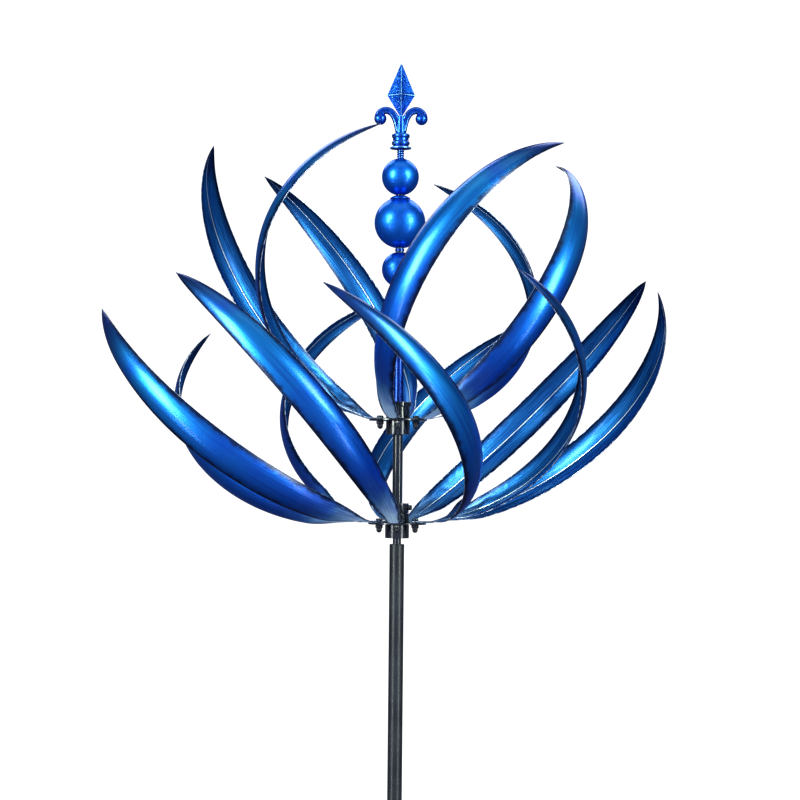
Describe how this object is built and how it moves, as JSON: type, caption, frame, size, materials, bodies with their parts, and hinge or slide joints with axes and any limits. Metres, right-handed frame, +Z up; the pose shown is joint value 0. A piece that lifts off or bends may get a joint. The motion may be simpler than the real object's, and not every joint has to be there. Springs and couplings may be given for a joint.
{
  "type": "garden windmill",
  "caption": "Garden windmill on a staked pole: two tiers of curved leaf-shaped metal blades turn opposite ways on one spindle, below a stack of balls and a fleur-de-lis finial.",
  "frame": {"origin": "on the pole's axis at the ground line, where the stake goes into the soil", "axes": "+Z up along the pole and the rotors' axis; -Y is the front"},
  "size_m": [0.5994, 0.5887, 2.132],
  "materials": {
    "blade_paint": "metallic blue gloss paint on sheet steel",
    "ball_paint": "metallic blue gloss paint",
    "finial_paint": "metallic blue paint on a casting",
    "hub_black": "gloss black",
    "fastener_black": "black zinc",
    "pole_black": "satin black powder coat",
    "bearing_steel": "ground steel"
  },
  "bodies": {
    "mast": {"spindle": "hub_black", "sleeve_between_hubs": "hub_black", "sleeve_under_balls": "ball_paint", "lower_collar": "hub_black", "collar_set_screw": "fastener_black", "lower_bottom_bearing_inner": "bearing_steel", "lower_top_bearing_inner": "bearing_steel", "upper_bottom_bearing_inner": "bearing_steel", "upper_top_bearing_inner": "bearing_steel", "ball_lower": "ball_paint", "ball_spacer_lower": "ball_paint", "ball_large": "ball_paint", "ball_spacer_capped": "ball_paint", "ball_top": "ball_paint", "finial": "finial_paint", "pole_plug": "pole_black", "pole_top": "pole_black", "pole_middle": "pole_black", "pole_lower": "pole_black", "pole_screw_1": "fastener_black", "pole_screw_2": "fastener_black", "stake_spike": "pole_black", "step_bar": "pole_black", "stake_prong_left": "pole_black", "stake_prong_right": "pole_black"},
    "upper_rotor": {"upper_hub_barrel": "hub_black", "upper_hub_disc": "hub_black", "upper_blade_1": "blade_paint", "upper_blade_2": "blade_paint", "upper_blade_3": "blade_paint", "upper_blade_4": "blade_paint", "upper_blade_5": "blade_paint", "upper_blade_6": "blade_paint", "upper_bolt_1": "fastener_black", "upper_bolt_2": "fastener_black", "upper_bolt_3": "fastener_black", "upper_bolt_4": "fastener_black", "upper_bolt_5": "fastener_black", "upper_bolt_6": "fastener_black", "upper_bottom_bearing_outer": "bearing_steel", "upper_top_bearing_outer": "bearing_steel"},
    "lower_rotor": {"lower_hub_barrel": "hub_black", "lower_hub_disc": "hub_black", "lower_blade_1": "blade_paint", "lower_blade_2": "blade_paint", "lower_blade_3": "blade_paint", "lower_blade_4": "blade_paint", "lower_blade_5": "blade_paint", "lower_blade_6": "blade_paint", "lower_blade_7": "blade_paint", "lower_blade_8": "blade_paint", "lower_blade_9": "blade_paint", "lower_bolt_1": "fastener_black", "lower_bolt_2": "fastener_black", "lower_bolt_3": "fastener_black", "lower_bolt_4": "fastener_black", "lower_bolt_5": "fastener_black", "lower_bolt_6": "fastener_black", "lower_bottom_bearing_outer": "bearing_steel", "lower_top_bearing_outer": "bearing_steel"}
  },
  "joints": [
    {"name": "upper_rotor_spin", "type": "hinge", "parent": "mast", "child": "upper_rotor", "pos_m": [0, 0, 1.4625], "axis": [0, 0, 1], "continuous": true},
    {"name": "lower_rotor_spin", "type": "hinge", "parent": "mast", "child": "lower_rotor", "pos_m": [0, 0, 1.35], "axis": [0, 0, 1], "continuous": true}
  ]
}
